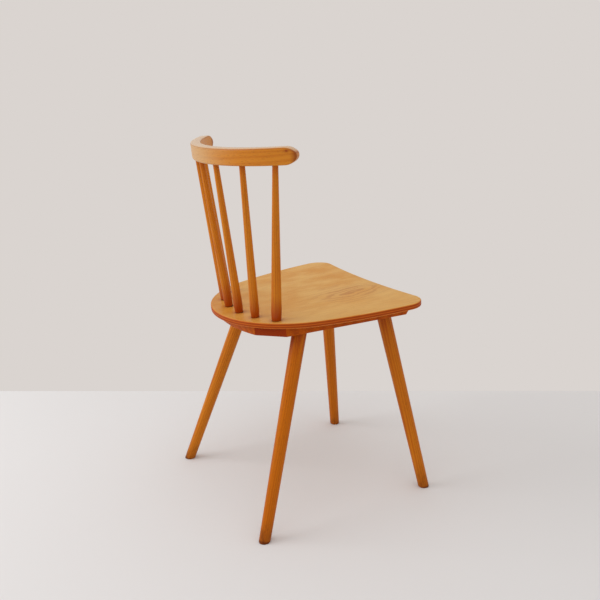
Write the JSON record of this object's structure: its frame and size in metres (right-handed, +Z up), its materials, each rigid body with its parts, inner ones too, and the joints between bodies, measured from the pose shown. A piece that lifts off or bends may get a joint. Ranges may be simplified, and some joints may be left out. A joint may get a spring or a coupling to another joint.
{
  "type": "spindle-back side chair",
  "caption": "Wooden side chair with a plywood seat on rails, splayed turned legs, turned back spindles and a bent crest rail.",
  "frame": {"origin": "on the floor, in the middle of the chair's overall box", "axes": "+Z up, -Y the way the chair faces, +X to the sitter's left"},
  "size_m": [0.4608, 0.439, 0.7949],
  "materials": {
    "seat_ply": "clear satin varnish on birch plywood",
    "rail_wood": "clear satin varnish, reddish brown",
    "leg_wood": "clear satin varnish, orange brown",
    "spindle_wood": "clear satin varnish, orange brown",
    "crest_wood": "clear satin varnish, orange brown",
    "wedge_wood": "plain hardwood",
    "screw_steel": "plain steel, slightly yellowed"
  },
  "bodies": {
    "root": {"seat_panel": "seat_ply", "side_rail_left": "rail_wood", "side_rail_right": "rail_wood", "back_rail": "rail_wood", "leg_front_left": "leg_wood", "leg_front_right": "leg_wood", "leg_back_left": "leg_wood", "leg_back_right": "leg_wood", "leg_wedge_front_left": "wedge_wood", "leg_wedge_front_right": "wedge_wood", "leg_wedge_back_left": "wedge_wood", "leg_wedge_back_right": "wedge_wood", "rail_dowels": "wedge_wood", "side_rail_screws_left": "screw_steel", "side_rail_screws_right": "screw_steel", "back_rail_screws": "screw_steel", "spindle_1": "spindle_wood", "spindle_2": "spindle_wood", "spindle_3": "spindle_wood", "spindle_4": "spindle_wood", "spindle_5": "spindle_wood", "spindle_6": "spindle_wood", "crest_rail": "crest_wood"}
  },
  "joints": []
}
